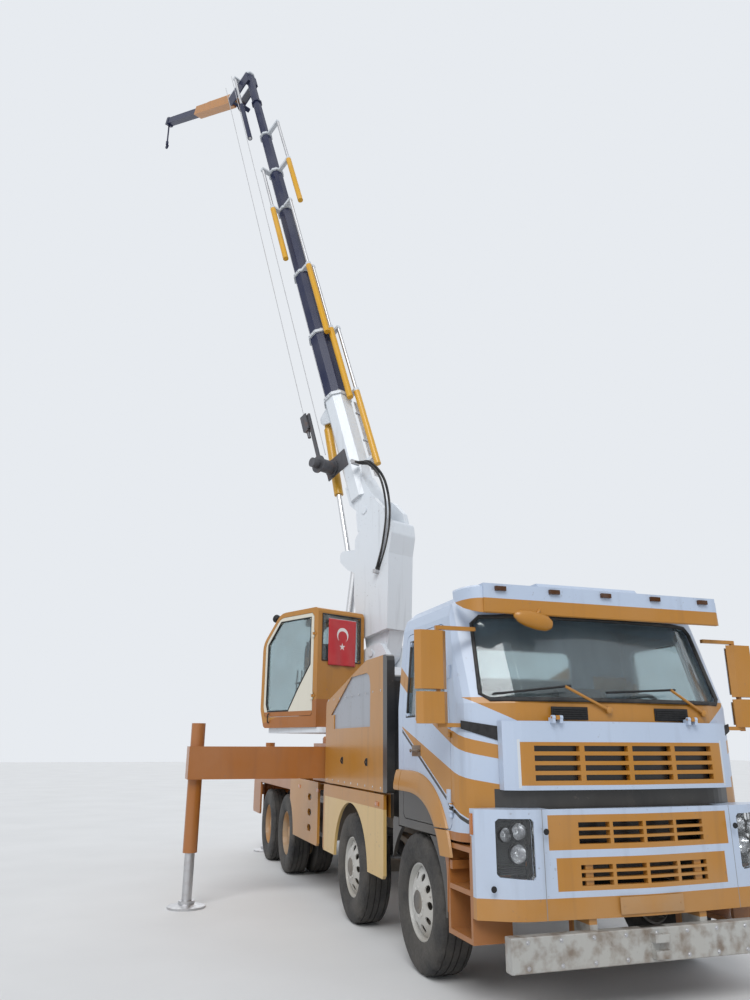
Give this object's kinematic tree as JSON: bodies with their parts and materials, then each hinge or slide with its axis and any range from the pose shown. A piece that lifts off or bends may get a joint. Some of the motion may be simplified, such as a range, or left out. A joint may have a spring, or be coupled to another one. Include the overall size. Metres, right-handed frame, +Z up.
{
  "type": "mobile crane",
  "caption": "Four-axle truck with a slewing knuckle boom crane: operator cab, telescopic sections, jib, outriggers and a rear deck, with the boom raised and extended.",
  "frame": {"origin": "Centre of the bounding box in plan, on the ground under the tyres", "axes": "+X to the front of the truck, +Y to its left, +Z up"},
  "size_m": [14.349, 6.9439, 19.2753],
  "materials": {
    "chassis_grey": "satin",
    "engine_grey": "matte",
    "cab_white": "gloss",
    "cab_glass": "gloss",
    "interior_grey": "matte",
    "panel_gold": "gloss",
    "lamp_glass": "gloss",
    "deck_orange": "gloss",
    "cylinder_yellow": "gloss",
    "rod_steel": "gloss",
    "boom_navy": "satin",
    "tyre": "matte",
    "rim_white": "satin",
    "rim_yellow": "satin"
  },
  "bodies": {
    "truck": {"chassis_frame": "chassis_grey", "axles": "chassis_grey", "engine": "engine_grey", "cab_shell": "cab_white", "windscreen": "cab_glass", "cab_interior": "interior_grey", "front_bumper": "panel_gold", "lamps": "lamp_glass", "cab_fittings": "panel_gold", "side_skirts": "cab_white", "side_towers": "cab_white", "deck": "deck_orange", "crane_base": "cab_white"},
    "knuckle_1_left": {"knuckle_1_left": "chassis_grey"},
    "wheel_1_left": {"tyre_1_left": "tyre", "rim_1_left": "rim_white"},
    "knuckle_1_right": {"knuckle_1_right": "chassis_grey"},
    "wheel_1_right": {"tyre_1_right": "tyre", "rim_1_right": "rim_white"},
    "knuckle_2_left": {"knuckle_2_left": "chassis_grey"},
    "wheel_2_left": {"tyre_2_left": "tyre", "rim_2_left": "rim_white"},
    "knuckle_2_right": {"knuckle_2_right": "chassis_grey"},
    "wheel_2_right": {"tyre_2_right": "tyre", "rim_2_right": "rim_white"},
    "wheels_3_left": {"tyres_3_left": "tyre", "rims_3_left": "rim_yellow"},
    "wheels_3_right": {"tyres_3_right": "tyre", "rims_3_right": "rim_yellow"},
    "wheels_4_left": {"tyres_4_left": "tyre", "rims_4_left": "rim_yellow"},
    "wheels_4_right": {"tyres_4_right": "tyre", "rims_4_right": "rim_yellow"},
    "door_left": {"door_left": "cab_white"},
    "door_right": {"door_right": "cab_white"},
    "front_lid": {"front_lid": "panel_gold"},
    "outrigger_right": {"outrigger_right": "cab_white"},
    "jack_right": {"jack_right": "rod_steel"},
    "outrigger_left": {"outrigger_left": "cab_white"},
    "jack_left": {"jack_left": "rod_steel"},
    "rear_jack_left": {"rear_jack_left": "rod_steel"},
    "rear_jack_right": {"rear_jack_right": "rod_steel"},
    "turntable": {"turntable": "cab_white", "operator_cab": "deck_orange"},
    "operator_door": {"operator_door": "deck_orange"},
    "boom_1": {"boom_1": "cab_white"},
    "lift_barrel": {"lift_barrel": "cylinder_yellow"},
    "lift_rod": {"lift_rod": "rod_steel"},
    "boom_2": {"boom_2": "cab_white", "winch": "engine_grey"},
    "bend_barrel": {"bend_barrel": "cylinder_yellow"},
    "bend_rod": {"bend_rod": "rod_steel"},
    "section_1": {"section_1": "boom_navy"},
    "section_2": {"section_2": "boom_navy"},
    "section_3": {"section_3": "boom_navy"},
    "section_4": {"section_4": "boom_navy"},
    "section_5": {"section_5": "boom_navy"},
    "section_6": {"section_6": "boom_navy"},
    "jib_boom": {"jib_boom": "deck_orange"},
    "jib_section": {"jib_section": "boom_navy"}
  },
  "joints": [
    {"name": "steer_1_left", "type": "hinge", "parent": "truck", "child": "knuckle_1_left", "pos_m": [5.72, 1.415, 0.52], "axis": [0, 0, 1], "range_deg": [-38, 38]},
    {"name": "roll_1_left", "type": "hinge", "parent": "knuckle_1_left", "child": "wheel_1_left", "pos_m": [5.72, 1.6, 0.52], "axis": [0, 1, 0], "continuous": true},
    {"name": "steer_1_right", "type": "hinge", "parent": "truck", "child": "knuckle_1_right", "pos_m": [5.72, -0.395, 0.52], "axis": [0, 0, 1], "range_deg": [-38, 38]},
    {"name": "roll_1_right", "type": "hinge", "parent": "knuckle_1_right", "child": "wheel_1_right", "pos_m": [5.72, -0.58, 0.52], "axis": [0, 1, 0], "continuous": true},
    {"name": "steer_2_left", "type": "hinge", "parent": "truck", "child": "knuckle_2_left", "pos_m": [3.78, 1.415, 0.52], "axis": [0, 0, 1], "range_deg": [-28, 28]},
    {"name": "roll_2_left", "type": "hinge", "parent": "knuckle_2_left", "child": "wheel_2_left", "pos_m": [3.78, 1.6, 0.52], "axis": [0, 1, 0], "continuous": true},
    {"name": "steer_2_right", "type": "hinge", "parent": "truck", "child": "knuckle_2_right", "pos_m": [3.78, -0.395, 0.52], "axis": [0, 0, 1], "range_deg": [-28, 28]},
    {"name": "roll_2_right", "type": "hinge", "parent": "knuckle_2_right", "child": "wheel_2_right", "pos_m": [3.78, -0.58, 0.52], "axis": [0, 1, 0], "continuous": true},
    {"name": "roll_3_left", "type": "hinge", "parent": "truck", "child": "wheels_3_left", "pos_m": [0.45, 1.6075, 0.52], "axis": [0, 1, 0], "continuous": true},
    {"name": "roll_3_right", "type": "hinge", "parent": "truck", "child": "wheels_3_right", "pos_m": [0.45, -0.5875, 0.52], "axis": [0, 1, 0], "continuous": true},
    {"name": "roll_4_left", "type": "hinge", "parent": "truck", "child": "wheels_4_left", "pos_m": [-0.92, 1.6075, 0.52], "axis": [0, 1, 0], "continuous": true},
    {"name": "roll_4_right", "type": "hinge", "parent": "truck", "child": "wheels_4_right", "pos_m": [-0.92, -0.5875, 0.52], "axis": [0, 1, 0], "continuous": true},
    {"name": "door_left", "type": "hinge", "parent": "truck", "child": "door_left", "pos_m": [6.494, 1.765, 1.82], "axis": [0, 0, -1], "range_deg": [0, 70]},
    {"name": "door_right", "type": "hinge", "parent": "truck", "child": "door_right", "pos_m": [6.494, -0.745, 1.82], "axis": [0, 0, 1], "range_deg": [0, 70]},
    {"name": "front_lid", "type": "hinge", "parent": "truck", "child": "front_lid", "pos_m": [6.982, 0.51, 1.925], "axis": [0, -1, 0], "range_deg": [0, 70]},
    {"name": "outrigger_right", "type": "slide", "parent": "truck", "child": "outrigger_right", "axis": [0, -1, 0], "range_m": [-1.42, 0]},
    {"name": "jack_right", "type": "slide", "parent": "outrigger_right", "child": "jack_right", "axis": [0, 0, 1], "range_m": [0, 0.42]},
    {"name": "outrigger_left", "type": "slide", "parent": "truck", "child": "outrigger_left", "axis": [0, 1, 0], "range_m": [-1.42, 0]},
    {"name": "jack_left", "type": "slide", "parent": "outrigger_left", "child": "jack_left", "axis": [0, 0, 1], "range_m": [0, 0.42]},
    {"name": "rear_jack_left", "type": "slide", "parent": "truck", "child": "rear_jack_left", "axis": [0, 0, 1], "range_m": [0, 0.42]},
    {"name": "rear_jack_right", "type": "slide", "parent": "truck", "child": "rear_jack_right", "axis": [0, 0, 1], "range_m": [0, 0.42]},
    {"name": "slew", "type": "hinge", "parent": "truck", "child": "turntable", "pos_m": [1.22, 0.51, 1.83], "axis": [0, 0, 1], "continuous": true},
    {"name": "operator_door", "type": "hinge", "parent": "turntable", "child": "operator_door", "pos_m": [1.54105, -0.64228, 3.2], "axis": [0, 0, 1], "range_deg": [0, 90]},
    {"name": "boom_1", "type": "hinge", "parent": "turntable", "child": "boom_1", "pos_m": [1.22, 0.51, 3], "axis": [0.4226, -0.9063, 0], "range_deg": [0, 50]},
    {"name": "lift_barrel", "type": "hinge", "parent": "turntable", "child": "lift_barrel", "pos_m": [0.26838, 0.06625, 2.15], "axis": [0.4226, -0.9063, 0], "range_deg": [0, 29.98]},
    {"name": "lift_rod", "type": "slide", "parent": "lift_barrel", "child": "lift_rod", "axis": [0.1535, 0.0716, 0.9856], "range_m": [-0.96588, 0]},
    {"name": "boom_2", "type": "hinge", "parent": "boom_1", "child": "boom_2", "pos_m": [1.05686, 0.43393, 5.22], "axis": [-0.4226, 0.9063, 0], "range_deg": [-75, 0]},
    {"name": "bend_barrel", "type": "hinge", "parent": "boom_2", "child": "bend_barrel", "pos_m": [-0.10125, -0.10611, 7.18123], "axis": [-0.4226, 0.9063, 0], "range_deg": [-5.64, 0]},
    {"name": "bend_rod", "type": "slide", "parent": "bend_barrel", "child": "bend_rod", "axis": [0.2189, 0.1021, -0.9704], "range_m": [-1.05174, 0]},
    {"name": "extend_1", "type": "slide", "parent": "boom_2", "child": "section_1", "axis": [-0.31, -0.1445, 0.9397], "range_m": [-1.46, 0]},
    {"name": "extend_2", "type": "slide", "parent": "section_1", "child": "section_2", "axis": [-0.31, -0.1445, 0.9397], "range_m": [-1.62, 0]},
    {"name": "extend_3", "type": "slide", "parent": "section_2", "child": "section_3", "axis": [-0.31, -0.1445, 0.9397], "range_m": [-1.79, 0]},
    {"name": "extend_4", "type": "slide", "parent": "section_3", "child": "section_4", "axis": [-0.31, -0.1445, 0.9397], "range_m": [-1.26, 0]},
    {"name": "extend_5", "type": "slide", "parent": "section_4", "child": "section_5", "axis": [-0.31, -0.1445, 0.9397], "range_m": [-1.34, 0]},
    {"name": "extend_6", "type": "slide", "parent": "section_5", "child": "section_6", "axis": [-0.31, -0.1445, 0.9397], "range_m": [-1.35, 0]},
    {"name": "jib", "type": "hinge", "parent": "section_6", "child": "jib_boom", "pos_m": [-3.72618, -1.79644, 17.29308], "axis": [-0.4226, 0.9063, 0], "range_deg": [-60, 43]},
    {"name": "jib_extend", "type": "slide", "parent": "jib_boom", "child": "jib_section", "axis": [-0.8075, -0.3766, 0.454], "range_m": [-1.5, 0]}
  ],
  "couplings": [
    {"joint": "steer_1_right", "follows": "steer_1_left", "ratio": 1},
    {"joint": "steer_2_left", "follows": "steer_1_left", "ratio": 0.72},
    {"joint": "steer_2_right", "follows": "steer_1_left", "ratio": 0.72},
    {"joint": "lift_barrel", "follows": "boom_1", "ratio": 0.59855},
    {"joint": "lift_rod", "follows": "boom_1", "m_per_rad": -1.1045},
    {"joint": "bend_barrel", "follows": "boom_2", "ratio": 0.0745},
    {"joint": "bend_rod", "follows": "boom_2", "m_per_rad": 0.80194},
    {"joint": "extend_2", "follows": "extend_1", "ratio": 1.1096},
    {"joint": "extend_3", "follows": "extend_1", "ratio": 1.226},
    {"joint": "extend_4", "follows": "extend_1", "ratio": 0.863},
    {"joint": "extend_5", "follows": "extend_1", "ratio": 0.9178},
    {"joint": "extend_6", "follows": "extend_1", "ratio": 0.92465}
  ]
}
